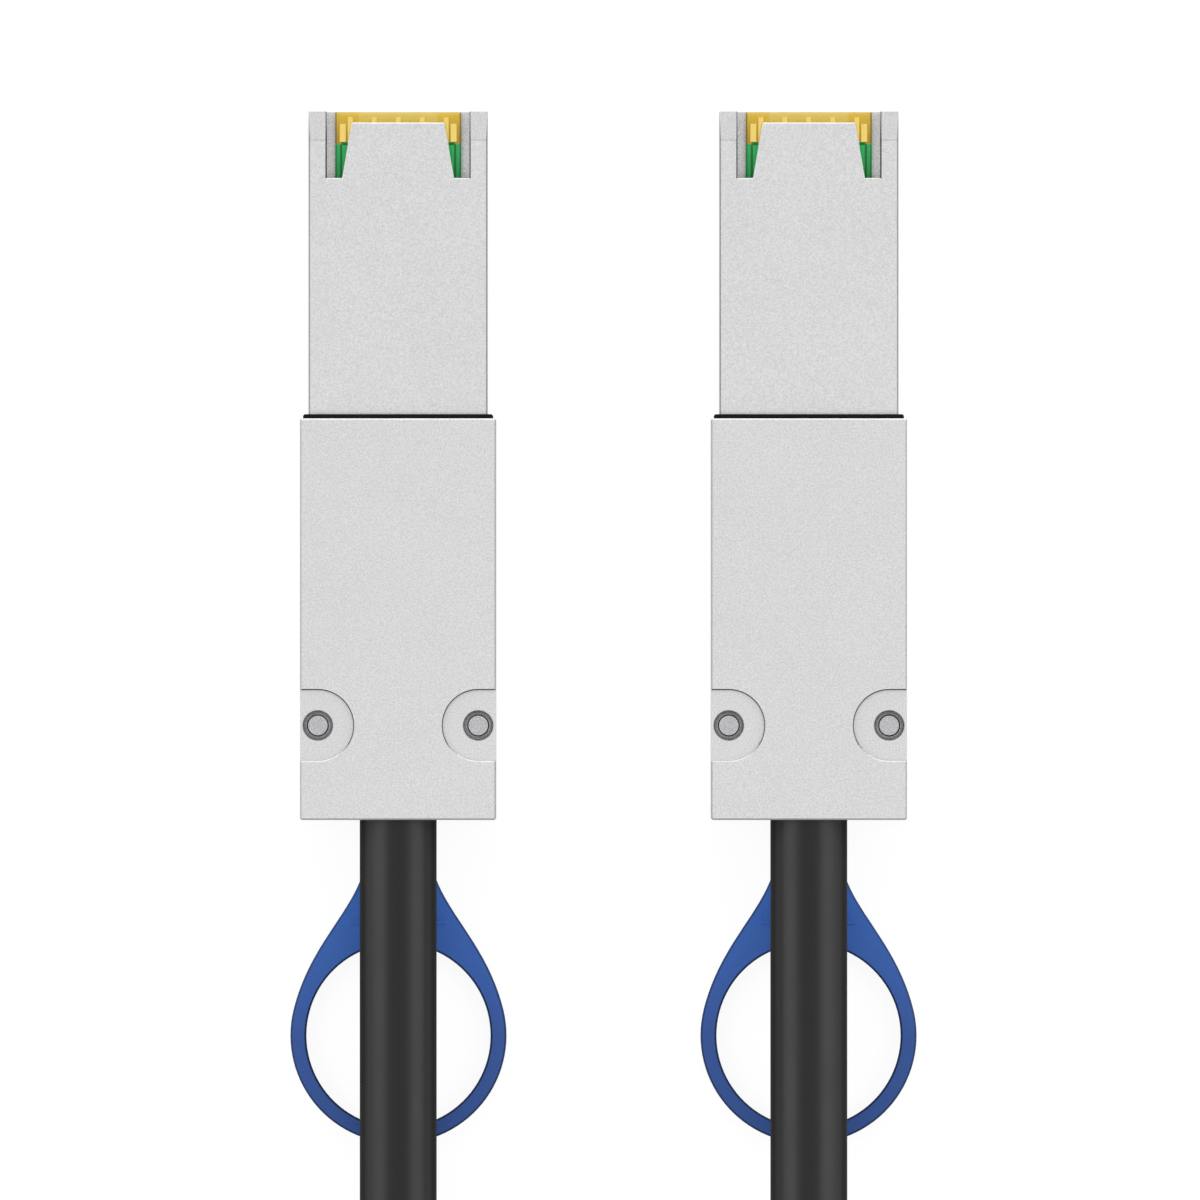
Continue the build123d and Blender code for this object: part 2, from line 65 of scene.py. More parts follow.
# Places read from the frame
left_body_low, left_body_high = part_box("left_latch_shell")
right_body_low, right_body_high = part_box("right_latch_shell")
plug_middle = (right_body_low.x + right_body_high.x) / 2
card_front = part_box("right_paddle_card")[1].y
coil_low, coil_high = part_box("cable_coil")
coil_middle = (coil_low + coil_high) / 2
shoulder_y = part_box("left_shield_gasket")[0].y

# Routes of the two leads in millimetres, from the end of the jacket in each plug to the coil: the points
# of the solid leads, with one more on the long straight stretch behind each plug
LEFT_ROUTE = [
    (-20.55, -10.035, 7.2),
    (-20.55, -34.0, 7.2),
    (-20.55, -50.7, 6.6),
    (-20.55, -76.0, 5.6),
    (-38.3, -94.0, 3.9),
]
RIGHT_ROUTE = [
    (20.55, -10.035, 7.2),
    (20.55, -34.0, 7.2),
    (20.55, -50.7, 8.0),
    (20.55, -76.0, 9.3),
    (38.3, -94.0, 11.5),
]

# Turns of the coil, in degrees, from where the left lead meets it to where the right one leaves it
COIL_ENTRY = 135.3
COIL_SPAN = 1349.4
COIL_CLIMB = 48.0  # between the lower layer and the upper one
COIL_MARGIN = 30.0  # at each end, without points
COIL_STEPS = 43
TIE_ANGLE = 270.0


class CableSizes(bpy.types.PropertyGroup):
    """Sizes of the view, and of the pieces that are added to the plugs and the cord"""

    view_width: FloatProperty(
        name="View Width", description="Width of what the camera sees",
        default=0.12012, min=0.02, unit="LENGTH",
    )
    camera_height: FloatProperty(
        name="Camera Height", description="Height of the camera above the plugs",
        default=4.3, min=0.5, unit="LENGTH",
    )
    cord_diameter: FloatProperty(
        name="Cord Diameter", description="Outer diameter of the jacket",
        default=0.0077, min=0.001, unit="LENGTH",
    )
    cord_length: FloatProperty(
        name="Cord Length", description="Length of the jacket from plug to plug",
        default=1.08, min=0.1, unit="LENGTH",
    )
    turn_pitch: FloatProperty(
        name="Turn Pitch", description="Distance between turns that lie side by side",
        default=0.00775, min=0.002, unit="LENGTH",
    )
    outer_turn_radius: FloatProperty(
        name="Outer Turn Radius", description="Radius of the coil's outer turn, at the middle of the cord",
        default=0.046, min=0.02, unit="LENGTH",
    )
    tie_width: FloatProperty(
        name="Tie Width", description="Width of the strap round the coil",
        default=0.009, min=0.002, unit="LENGTH",
    )
    tie_thickness: FloatProperty(
        name="Tie Thickness", description="Thickness of the strap round the coil",
        default=0.0007, min=0.0002, unit="LENGTH",
    )
    spring_strip: FloatProperty(
        name="Spring Strip", description="Thickness of the bowed return springs",
        default=0.00015, min=0.00005, unit="LENGTH",
    )


class CableColours(bpy.types.PropertyGroup):
    """Colours of the finishes"""

    die_cast: FloatVectorProperty(
        name="Die Cast", description="Plated die-cast shells",
        default=(0.66, 0.66, 0.665), size=3, min=0, max=1, subtype="COLOR",
    )
    rivet: FloatVectorProperty(
        name="Rivet", description="Rivets and screws",
        default=(0.5, 0.5, 0.51), size=3, min=0, max=1, subtype="COLOR",
    )
    stainless: FloatVectorProperty(
        name="Stainless", description="Latch, slider, spring and cover",
        default=(0.6, 0.6, 0.61), size=3, min=0, max=1, subtype="COLOR",
    )
    gasket: FloatVectorProperty(
        name="Gasket", description="Shield gasket at the shoulder",
        default=(0.007, 0.007, 0.007), size=3, min=0, max=1, subtype="COLOR",
    )
    # Lifted well above the mask's own green as painted light against the shade in the mouth of the plug
    solder_mask: FloatVectorProperty(
        name="Solder Mask", description="Green mask of the circuit card",
        default=(0.053, 0.96, 0.245), size=3, min=0, max=1, subtype="COLOR",
    )
    bare_card: FloatVectorProperty(
        name="Bare Card", description="Bare front edge of the circuit card",
        default=(0.84, 0.56, 0.05), size=3, min=0, max=1, subtype="COLOR",
    )
    contact: FloatVectorProperty(
        name="Contact", description="Gold plating of the contacts",
        default=(0.96, 0.71, 0.19), size=3, min=0, max=1, subtype="COLOR",
    )
    pair_foil: FloatVectorProperty(
        name="Pair Foil", description="Foil round each pair of wires",
        default=(0.6, 0.6, 0.62), size=3, min=0, max=1, subtype="COLOR",
    )
    ferrule: FloatVectorProperty(
        name="Ferrule", description="Nickel plating of the crimp ferrule",
        default=(0.62, 0.6, 0.55), size=3, min=0, max=1, subtype="COLOR",
    )
    # Lifted above the plastic's own blue as painted light against the shade near the plug; the ring end is
    # brought back to the plain blue
    tab: FloatVectorProperty(
        name="Tab", description="Moulded pull tab",
        default=(0.06, 0.19, 0.66), size=3, min=0, max=1, subtype="COLOR",
    )
    jacket: FloatVectorProperty(
        name="Jacket", description="Jacket of the cord",
        default=(0.006, 0.006, 0.0065), size=3, min=0, max=1, subtype="COLOR",
    )
    tie: FloatVectorProperty(
        name="Tie", description="Strap round the coil",
        default=(0.02, 0.02, 0.022), size=3, min=0, max=1, subtype="COLOR",
    )


def fill_socket(tree, socket, value):
    """Links a socket to another one, or sets its value"""
    if isinstance(value, bpy.types.NodeSocket):
        tree.links.new(value, socket)
    elif socket.type == "RGBA":
        socket.default_value = (*value[:3], 1.0)
    else:
        socket.default_value = value


def add_node(tree, kind, inputs=None, **settings):
    """Adds a node, sets its options, and links or fills its inputs"""
    node = tree.nodes.new(kind)
    for name, value in settings.items():
        setattr(node, name, value)
    for name, value in (inputs or {}).items():
        fill_socket(tree, node.inputs[name], value)
    return node


def calculate(tree, operation, first, second=0.0, third=0.0):
    """Result of a Math node"""
    node = add_node(tree, "ShaderNodeMath", {0: first, 1: second, 2: third}, operation=operation)
    return node.outputs[0]


def both(tree, first, second):
    """Mask of what two masks share"""
    return calculate(tree, "MULTIPLY", first, second)


def distance_from(tree, value, place):
    """Distance of a value from a place"""
    return calculate(tree, "ABSOLUTE", calculate(tree, "SUBTRACT", value, place))


def remap(tree, value, low, high, start, end):
    """Goes from start to end while a value goes from low to high"""
    return add_node(
        tree, "ShaderNodeMapRange",
        {"Value": value, "From Min": low, "From Max": high, "To Min": start, "To Max": end},
    ).outputs[0]


def choose(tree, mask, outside, inside):
    """One value where a mask is 0, and another where it is 1"""
    return remap(tree, mask, 0.0, 1.0, outside, inside)


def split_vector(tree, vector):
    """The three parts of a vector"""
    return add_node(tree, "ShaderNodeSeparateXYZ", {0: vector}).outputs


def scale_colour(tree, colour, factor):
    """A colour times a factor that changes over the surface"""
    node = add_node(tree, "ShaderNodeVectorMath", {0: colour, "Scale": factor}, operation="SCALE")
    return node.outputs[0]


def blend_colours(tree, factor, first, second):
    """Colour between two others"""
    return add_node(tree, "ShaderNodeMix", {0: factor, 6: first, 7: second}, data_type="RGBA").outputs[2]


def shade(colour, share):
    """A colour brought down to a share of itself"""
    return [channel * share for channel in colour]


def start_group(name, inputs, outputs, kind="ShaderNodeTree"):
    """New node group with its named sockets"""
    group = bpy.data.node_groups.new(name, kind)
    for label, socket_type, default in inputs:
        socket = group.interface.new_socket(label, in_out="INPUT", socket_type=socket_type)
        if default is not None:
            socket.default_value = default
    for label, socket_type in outputs:
        group.interface.new_socket(label, in_out="OUTPUT", socket_type=socket_type)
    return group, group.nodes.new("NodeGroupInput"), group.nodes.new("NodeGroupOutput")


def put_out_pattern(group, given, result, pattern):
    """Puts out a pattern as a height, and the given colour made lighter and darker by it"""
    centred = calculate(group, "SUBTRACT", pattern, 0.5)
    factor = calculate(group, "MULTIPLY_ADD", centred, given.outputs["Contrast"], 1.0)
    group.links.new(scale_colour(group, given.outputs["Colour"], factor), result.inputs["Colour"])
    group.links.new(pattern, result.inputs["Height"])


def build_fine_grain():
    """Speckled grain: a varied colour and a height"""
    group, given, result = start_group(
        "Fine Grain",
        [
            ("Vector", "NodeSocketVector", None),
            ("Colour", "NodeSocketColor", (0.5, 0.5, 0.5, 1)),
            ("Scale", "NodeSocketFloat", 5000.0),
            ("Contrast", "NodeSocketFloat", 0.1),
        ],
        [("Colour", "NodeSocketColor"), ("Height", "NodeSocketFloat")],
    )
    speckle = add_node(
        group, "ShaderNodeTexNoise",
        {"Vector": given.outputs["Vector"], "Scale": given.outputs["Scale"], "Detail": 2.0, "Roughness": 0.6},
    )
    put_out_pattern(group, given, result, speckle.outputs[0])
    return group


def build_soft_marks():
    """Large soft marks of handling, as a roughness"""
    group, given, result = start_group(
        "Soft Marks",
        [
            ("Vector", "NodeSocketVector", None),
            ("Scale", "NodeSocketFloat", 150.0),
            ("Smooth", "NodeSocketFloat", 0.35),
            ("Rough", "NodeSocketFloat", 0.45),
        ],
        [("Roughness", "NodeSocketFloat")],
    )
    cloud = add_node(
        group, "ShaderNodeTexNoise",
        {"Vector": given.outputs["Vector"], "Scale": given.outputs["Scale"], "Detail": 3.0},
    ).outputs[0]
    spread = remap(group, cloud, 0.3, 0.7, given.outputs["Smooth"], given.outputs["Rough"])
    group.links.new(spread, result.inputs["Roughness"])
    return group


def build_brushed_lines():
    """Fine lines drawn out along one direction: a varied colour and a height"""
    group, given, result = start_group(
        "Brushed Lines",
        [
            ("Vector", "NodeSocketVector", None),
            ("Colour", "NodeSocketColor", (0.5, 0.5, 0.5, 1)),
            ("Stretch", "NodeSocketVector", (1.0, 0.03, 1.0)),
            ("Scale", "NodeSocketFloat", 6000.0),
            ("Contrast", "NodeSocketFloat", 0.2),
        ],
        [("Colour", "NodeSocketColor"), ("Height", "NodeSocketFloat")],
    )
    drawn = add_node(
        group, "ShaderNodeVectorMath",
        {0: given.outputs["Vector"], 1: given.outputs["Stretch"]}, operation="MULTIPLY",
    )
    lines = add_node(
        group, "ShaderNodeTexNoise",
        {"Vector": drawn.outputs[0], "Scale": given.outputs["Scale"], "Detail": 3.0, "Roughness": 0.7},
    )
    put_out_pattern(group, given, result, lines.outputs[0])
    return group


def mask_slopes(group, upright, sharpness):
    """1 on faces that slope about halfway between level and upright, and 0 on the others"""
    from_slope = distance_from(group, calculate(group, "ABSOLUTE", upright), cos(pi / 4))
    return remap(group, from_slope, sharpness, 0.2, 1.0, 0.0)


def build_edge_shade():
    """Painted shade on the narrow sloping edges between flat faces where the tone is below 1, and a painted
    highlight where it is above 1
    """
    group, given, result = start_group(
        "Edge Shade",
        [
            ("Colour", "NodeSocketColor", (0.5, 0.5, 0.5, 1)),
            ("Edge Tone", "NodeSocketFloat", 0.6),
        ],
        [("Colour", "NodeSocketColor")],
    )
    normal = add_node(group, "ShaderNodeNewGeometry").outputs["True Normal"]
    sloping = mask_slopes(group, split_vector(group, normal)["Z"], 0.12)
    factor = choose(group, sloping, 1.0, given.outputs["Edge Tone"])
    group.links.new(scale_colour(group, given.outputs["Colour"], factor), result.inputs["Colour"])
    return group


def build_painted_rim_shade():
    """Painted shade on the narrow sloping edges that face sideways and to the rear, and a painted highlight
    on those that face the nose
    """
    group, given, result = start_group(
        "Painted Rim Shade",
        [
            ("Colour", "NodeSocketColor", (0.5, 0.5, 0.5, 1)),
            ("Side Shade", "NodeSocketFloat", 0.5),
            ("Rear Shade", "NodeSocketFloat", 0.3),
            ("Front Highlight", "NodeSocketFloat", 1.4),
        ],
        [("Colour", "NodeSocketColor")],
    )
    normal = add_node(group, "ShaderNodeNewGeometry").outputs["True Normal"]
    parts = split_vector(group, normal)
    sloping = mask_slopes(group, parts["Z"], 0.1)
    off_front = remap(group, parts["Y"], 0.35, 0.6, 1.0, 0.0)
    rearward = remap(group, parts["Y"], -0.2, -0.65, 0.0, 1.0)
    # Painted shade by the way each edge faces, and a painted highlight where it faces the nose
    tone = choose(group, rearward, given.outputs["Side Shade"], given.outputs["Rear Shade"])
    tone = choose(group, off_front, given.outputs["Front Highlight"], tone)
    factor = choose(group, sloping, 1.0, tone)
    group.links.new(scale_colour(group, given.outputs["Colour"], factor), result.inputs["Colour"])
    return group


def use_effect(tree, name, inputs):
    """Places a shader group in a material; the group is built the first time that it is used"""
    builders = {
        "Fine Grain": build_fine_grain,
        "Soft Marks": build_soft_marks,
        "Brushed Lines": build_brushed_lines,
        "Edge Shade": build_edge_shade,
        "Painted Rim Shade": build_painted_rim_shade,
    }
    group = bpy.data.node_groups.get(name) or builders[name]()
    return add_node(tree, "ShaderNodeGroup", inputs, node_tree=group).outputs


def add_grain(tree, place, colour, scale, contrast):
    """Colour and height of a fine grain"""
    grain = use_effect(
        tree, "Fine Grain", {"Vector": place, "Colour": colour, "Scale": scale, "Contrast": contrast},
    )
    return grain["Colour"], grain["Height"]


def add_marks(tree, place, scale, smooth, rough):
    """Roughness between two values, in soft marks"""
    marks = use_effect(
        tree, "Soft Marks", {"Vector": place, "Scale": scale, "Smooth": smooth, "Rough": rough},
    )
    return marks["Roughness"]


def start_material(name):
    """New material's tree and shader, with the piece's own coordinates"""
    material = bpy.data.materials.new(name)
    material.use_nodes = True
    tree = material.node_tree
    place = tree.nodes.new("ShaderNodeTexCoord").outputs["Object"]
    return material, tree, tree.nodes["Principled BSDF"], place


def set_surface(tree, shader, colour, roughness, height, depth, strength):
    """Links a finish to its shader: colour, roughness, and a bump from a height"""
    tree.links.new(colour, shader.inputs["Base Color"])
    tree.links.new(roughness, shader.inputs["Roughness"])
    bump = add_node(tree, "ShaderNodeBump", {"Height": height, "Distance": depth, "Strength": strength})
    tree.links.new(bump.outputs[0], shader.inputs["Normal"])


def look_sideways(tree):
    """0 where the surface is seen straight on, rising to 1 where it is seen edge on"""
    return add_node(tree, "ShaderNodeLayerWeight", {"Blend": 0.5}).outputs["Facing"]


def dim_glancing(tree, colour):
    """The colour, brought down as a painted shade where bare metal is seen at a low angle and mirrors the
    lamps
    """
    return scale_colour(tree, colour, remap(tree, look_sideways(tree), 0.3, 0.5, 1.0, 0.6))


def make_die_cast(colour):
    """Plated die casting: fine grain, soft marks of handling, painted shade on its rims, ramps and slot
    walls, a painted highlight on rims that face the nose, and painted light in the mouth of the nose
    """
    nose_front = card_front + 0.05 * MM
    ramp_line = nose_front - 2.85 * MM
    slot_rear = nose_front - 6.65 * MM
    mouth_rear = slot_rear - 2 * MM
    half_line = 0.075 * MM
    opening_edge = 7.15 * MM
    slot_wall = opening_edge + 0.06 * MM
    half_wall = 0.06 * MM
    wall_foot = left_body_high.z + 3.3 * MM
    mouth_level = left_body_high.z - 1.15 * MM
    half_mouth = 1.3 * MM
    tongue_edge = 6 * MM
    rim_edge = 8.5 * MM
    rear_edge = left_body_low.y + 1 * MM
    material, tree, shader, place = start_material("Plated Die Cast")
    parts = split_vector(tree, place)
    along, height = parts["Y"], parts["Z"]
    from_middle = distance_from(tree, calculate(tree, "ABSOLUTE", parts["X"]), plug_middle)

    on_nose = calculate(tree, "GREATER_THAN", along, shoulder_y)
    on_tongue = both(tree, on_nose, calculate(tree, "LESS_THAN", from_middle, tongue_edge))
    on_walls = calculate(tree, "GREATER_THAN", from_middle, opening_edge + 0.05 * MM)
    on_ramp = both(tree, calculate(tree, "GREATER_THAN", along, ramp_line), on_walls)
    on_shade_line = both(tree, calculate(tree, "COMPARE", along, ramp_line, half_line), on_walls)
    inside = both(
        tree, calculate(tree, "COMPARE", height, mouth_level, half_mouth),
        calculate(tree, "LESS_THAN", from_middle, opening_edge + 0.01 * MM),
    )
    in_mouth = both(tree, inside, calculate(tree, "GREATER_THAN", along, mouth_rear))
    shaded_slot_wall = both(
        tree, calculate(tree, "GREATER_THAN", along, slot_rear),
        calculate(tree, "COMPARE", from_middle, slot_wall, half_wall),
    )
    shaded_slot_wall = both(tree, shaded_slot_wall, calculate(tree, "GREATER_THAN", height, wall_foot))
    on_rim = calculate(tree, "LESS_THAN", from_middle, rim_edge)
    at_rear = calculate(tree, "LESS_THAN", along, rear_edge)

    # Painted light in the mouth of the nose: its hollow is lighter than the casting, most behind the slots,
    # to offset the shade inside it
    mouth_light = remap(tree, along, slot_rear, nose_front, 0.0, 1.0)
    mouth_painted_light = blend_colours(tree, mouth_light, (0.83, 0.83, 0.83), (0.75, 0.75, 0.75))
    # Painted shade on the ramps at the tips of the side walls, darker still in a thin line across them
    plain = blend_colours(tree, on_ramp, colour, shade(colour, 0.94))
    plain = blend_colours(tree, on_shade_line, plain, shade(colour, 0.8))
    plain = blend_colours(tree, in_mouth, plain, mouth_painted_light)
    # Painted shade: a dark line down the outer wall of each slot
    plain = blend_colours(tree, shaded_slot_wall, plain, shade(colour, 0.35))
    # Painted shade on the sloping rims: darkest within the pockets and slots and on rear-facing rims, less on
    # the outer sides and at the rear end, none on the tongue; a painted highlight on rims that face the nose
    side_shade = choose(tree, on_rim, choose(tree, on_nose, 0.6, 0.42), 0.12)
    painted_rims = use_effect(
        tree, "Painted Rim Shade",
        {
            "Colour": plain, "Side Shade": calculate(tree, "MAXIMUM", side_shade, on_tongue),
            "Rear Shade": choose(tree, at_rear, 0.06, 0.8), "Front Highlight": 1.45,
        },
    )
    grain, bumps = add_grain(tree, place, painted_rims["Colour"], 6000.0, 0.65)
    roughness = choose(tree, in_mouth, add_marks(tree, place, 130.0, 0.4, 0.48), 0.27)
    set_surface(tree, shader, dim_glancing(tree, grain), roughness, bumps, 0.02 * MM, 0.35)
    tree.links.new(choose(tree, in_mouth, 0.5, 1.0), shader.inputs["Metallic"])
    shader.inputs["Specular IOR Level"].default_value = 0.3
    return material


def make_brushed_metal(name, colour, stretch, smooth, rough, contrast):
    """Metal with fine drawn lines"""
    material, tree, shader, place = start_material(name)
    lines = use_effect(
        tree, "Brushed Lines",
        {"Vector": place, "Colour": colour, "Stretch": stretch, "Scale": 7000.0, "Contrast": contrast},
    )
    marks = add_marks(tree, place, 260.0, smooth, rough)
    set_surface(tree, shader, dim_glancing(tree, lines["Colour"]), marks, lines["Height"], 0.01 * MM, 0.4)
    shader.inputs["Metallic"].default_value = 1.0
    return material


def make_rivet_metal(colour):
    """Turned steel of the rivets and screws, with a painted highlight on its slopes"""
    material, tree, shader, place = start_material("Rivet Steel")
    edge = use_effect(tree, "Edge Shade", {"Colour": colour, "Edge Tone": 1.15})
    grain, bumps = add_grain(tree, place, edge["Colour"], 6000.0, 1.2)
    marks = add_marks(tree, place, 900.0, 0.32, 0.46)
    set_surface(tree, shader, dim_glancing(tree, grain), marks, bumps, 0.015 * MM, 0.4)
    shader.inputs["Metallic"].default_value = 1.0
    return material


def make_gasket(colour):
    """Black conductive elastomer with a fine pebbled skin"""
    material, tree, shader, place = start_material("Gasket Elastomer")
    grain, bumps = add_grain(tree, place, colour, 7000.0, 0.9)
    set_surface(tree, shader, grain, add_marks(tree, place, 600.0, 0.6, 0.75), bumps, 0.04 * MM, 0.6)
    shader.inputs["Specular IOR Level"].default_value = 0.08
    return material


def make_circuit_card(mask_colour, bare_colour):
    """Circuit card: bare front edge, green mask behind it, and tracks under the mask"""
    mask_edge = 48.45 * MM
    mask_step = 0.22 * MM
    step_edge = 5.65 * MM
    edge_blur = 0.04 * MM
    track_pitch = 0.8 * MM
    guard_gap = 5.7 * MM
    half_gap = 0.11 * MM
    front_dark, half_dark = 0.2 * MM, 0.14 * MM
    pale_gold = (0.86, 0.64, 0.12)
    front_brown = (0.45, 0.3, 0.03)
    material, tree, shader, place = start_material("Circuit Card")
    parts = split_vector(tree, place)
    along = parts["Y"]
    from_middle = distance_from(tree, calculate(tree, "ABSOLUTE", parts["X"]), plug_middle)

    # The mask's front edge lies further forward between its two steps
    stepped = calculate(tree, "LESS_THAN", from_middle, step_edge)
    edge_line = calculate(tree, "MULTIPLY_ADD", stepped, mask_step, mask_edge)
    behind_edge = calculate(tree, "SUBTRACT", edge_line, along)
    masked = remap(tree, behind_edge, -edge_blur, edge_blur, 0.0, 1.0)
    dark_front = both(tree, stepped, calculate(tree, "COMPARE", behind_edge, front_dark, half_dark))

    pale_middle = remap(tree, from_middle, 3.85 * MM, 4.05 * MM, 1.0, 0.0)
    front_band = remap(tree, along, card_front - 0.25 * MM, card_front - 0.1 * MM, 0.0, 0.35)
    bare = blend_colours(tree, pale_middle, bare_colour, pale_gold)
    bare = blend_colours(tree, front_band, bare, front_brown)

    wave = calculate(tree, "FRACT", calculate(tree, "DIVIDE", from_middle, track_pitch))
    track = remap(tree, distance_from(tree, wave, 0.5), 0.16, 0.24, 0.0, 1.0)
    gap = calculate(tree, "COMPARE", from_middle, guard_gap, half_gap)
    green = blend_colours(tree, track, shade(mask_colour, 0.9), mask_colour)
    dark_lines = calculate(tree, "MAXIMUM", gap, dark_front)
    green = blend_colours(tree, dark_lines, green, shade(mask_colour, 0.3))

    # Painted shade along the card's two sides, in the gap beside the walls of the mouth
    shaded_sides = remap(tree, from_middle, 6.1 * MM, 6.2 * MM, 1.0, 0.4)
    colour = scale_colour(tree, blend_colours(tree, masked, bare, green), shaded_sides)
    grain = add_grain(tree, place, colour, 4000.0, 0.18)[0]
    marks = add_marks(tree, place, 400.0, 0.38, 0.5)
    set_surface(tree, shader, grain, marks, both(tree, track, masked), 0.03 * MM, 0.6)
    return material


def make_contact_gold(colour):
    """Gold plating with faint rubbed lines along the contacts"""
    lengthwise = (1.0, 0.08, 1.0)
    return make_brushed_metal("Contact Gold", colour, lengthwise, 0.1, 0.18, 0.22)


def make_tab_plastic(colour):
    """Moulded tab with a fine texture, with painted light towards the plug, where the body and cord shade it,
    and painted shade along its edges
    """
    neck, ring_top = -26 * MM, -41 * MM
    ring_colour = (colour[0] * 0.7, colour[1] * 0.55, colour[2] * 0.535)
    material, tree, shader, place = start_material("Tab Plastic")
    # Painted light: the tab's colour is lifted towards the plug against the shade of the body and cord, and
    # falls back to its plain colour at the ring
    toward_ring = remap(tree, split_vector(tree, place)["Y"], ring_top, neck, 1.0, 0.0)
    tone = blend_colours(tree, toward_ring, colour, ring_colour)
    edge = use_effect(tree, "Edge Shade", {"Colour": tone, "Edge Tone": 0.35})
    grain, bumps = add_grain(tree, place, edge["Colour"], 3500.0, 0.16)
    set_surface(tree, shader, grain, add_marks(tree, place, 180.0, 0.5, 0.62), bumps, 0.02 * MM, 0.4)
    shader.inputs["Specular IOR Level"].default_value = 0.2
    return material


def make_jacket(colour):
    """Extruded jacket, satin on top and dull towards its sides, with a faint skin"""
    material, tree, shader, place = start_material("Cord Jacket")
    grain, bumps = add_grain(tree, place, colour, 2600.0, 0.3)
    marks = add_marks(tree, place, 220.0, 0.36, 0.4)
    roughness = remap(tree, look_sideways(tree), 0.3, 0.6, marks, 1.0)
    set_surface(tree, shader, grain, roughness, bumps, 0.015 * MM, 0.3)
    shader.inputs["Specular IOR Level"].default_value = 0.33
    return material


def make_tie_cloth(colour):
    """Woven strap with a short looped pile"""
    material, tree, shader, place = start_material("Tie Strap")
    grain, bumps = add_grain(tree, place, colour, 3000.0, 1.2)
    set_surface(tree, shader, grain, add_marks(tree, place, 500.0, 0.8, 0.95), bumps, 0.15 * MM, 0.8)
    shader.inputs["Sheen Weight"].default_value = 0.3
    return material


def get_material(name, build, *values):
    """The named material, built the first time that it is used"""
    return bpy.data.materials.get(name) or build(*values)


def cover_nodes(side, names, material):
    """Gives carried-over solids of one plug their material"""
    for name in names:
        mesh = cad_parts[f"{side}_{name}"].data
        mesh.materials.clear()
        mesh.materials.append(material)


def add_piece(name, mesh, body):
    """Links a finished mesh as a piece that rides on a body"""
    piece = bpy.data.objects.new(name, mesh)
    bpy.context.scene.collection.objects.link(piece)
    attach(piece, body)
    return piece


def set_modifier_inputs(modifier, values):
    """Sets the inputs of a Geometry Nodes modifier through their identifiers"""
    for item in modifier.node_group.interface.items_tree:
        if item.item_type == "SOCKET" and item.in_out == "INPUT" and item.name in values:
            modifier[item.identifier] = values[item.name]


def grow_from_points(name, points, group, values):
    """Plain mesh of what a Geometry Nodes group makes at each point"""
    seeds = bpy.data.meshes.new(name + "_places")
    seeds.from_pydata(points, [], [])
    holder = bpy.data.objects.new(name + "_places", seeds)
    bpy.context.scene.collection.objects.link(holder)
    modifier = holder.modifiers.new("Grow", "NODES")
    modifier.node_group = group
    set_modifier_inputs(modifier, values)
    ready = holder.evaluated_get(bpy.context.evaluated_depsgraph_get())
    mesh = bpy.data.meshes.new_from_object(ready)
    mesh.name = name
    holder.modifiers.remove(modifier)
    bpy.data.objects.remove(holder)
    bpy.data.meshes.remove(seeds)
    if not mesh.polygons:
        raise RuntimeError(f"{name} came out empty")
    return mesh


def link_instances(group, given, result, shape):
    """Sets a shape on each point, makes it real and gives it its material"""
    placed = add_node(
        group, "GeometryNodeInstanceOnPoints",
        {"Points": given.outputs["Places"], "Instance": shape},
    )
    real = add_node(group, "GeometryNodeRealizeInstances", {0: placed.outputs[0]})
    painted = add_node(
        group, "GeometryNodeSetMaterial",
        {"Geometry": real.outputs[0], "Material": given.outputs["Material"]},
    )
    group.links.new(painted.outputs[0], result.inputs["Geometry"])


def shift_shape(group, shape, height):
    """Moves a shape along Z"""
    offset = add_node(group, "ShaderNodeCombineXYZ", {"Z": height})
    return add_node(
        group, "GeometryNodeTransform", {"Geometry": shape, "Translation": offset.outputs[0]},
    ).outputs[0]


def build_screw_group():
    """Countersunk screw with a cross recess, its head facing down"""
    group, given, result = start_group(
        "Countersunk Screw",
        [
            ("Places", "NodeSocketGeometry", None),
            ("Head Radius", "NodeSocketFloat", 1.3 * MM),
            ("Head Height", "NodeSocketFloat", 0.5 * MM),
            ("Shank Radius", "NodeSocketFloat", 0.8 * MM),
            ("Length", "NodeSocketFloat", 3.2 * MM),
            ("Recess Length", "NodeSocketFloat", 1.5 * MM),
            ("Recess Width", "NodeSocketFloat", 0.3 * MM),
            ("Recess Depth", "NodeSocketFloat", 0.35 * MM),
            ("Material", "NodeSocketMaterial", None),
        ],
        [("Geometry", "NodeSocketGeometry")],
        "GeometryNodeTree",
    )
    sides = 40
    head = add_node(
        group, "GeometryNodeMeshCone",
        {
            "Vertices": sides, "Radius Bottom": given.outputs["Head Radius"],
            "Radius Top": given.outputs["Shank Radius"], "Depth": given.outputs["Head Height"],
        },
    ).outputs["Mesh"]
    shank_length = calculate(group, "SUBTRACT", given.outputs["Length"], given.outputs["Head Height"])
    shank = add_node(
        group, "GeometryNodeMeshCylinder",
        {"Vertices": sides, "Radius": given.outputs["Shank Radius"], "Depth": shank_length},
    ).outputs["Mesh"]
    half_length = calculate(group, "MULTIPLY", shank_length, 0.5)
    shank = shift_shape(group, shank, calculate(group, "ADD", half_length, given.outputs["Head Height"]))
    recess_height = calculate(group, "MULTIPLY", given.outputs["Recess Depth"], 2.0)
    cut = group.nodes.new("GeometryNodeMeshBoolean")
    cut.operation = "DIFFERENCE"
    group.links.new(head, cut.inputs["Mesh 1"])
    for across, along in (("Recess Length", "Recess Width"), ("Recess Width", "Recess Length")):
        size = add_node(
            group, "ShaderNodeCombineXYZ",
            {"X": given.outputs[across], "Y": given.outputs[along], "Z": recess_height},
        )
        bar = add_node(group, "GeometryNodeMeshCube", {"Size": size.outputs[0]}).outputs["Mesh"]
        group.links.new(bar, cut.inputs["Mesh 2"])
    joined = group.nodes.new("GeometryNodeJoinGeometry")
    group.links.new(cut.outputs[0], joined.inputs[0])
    group.links.new(shank, joined.inputs[0])
    link_instances(group, given, result, joined.outputs[0])
    return group


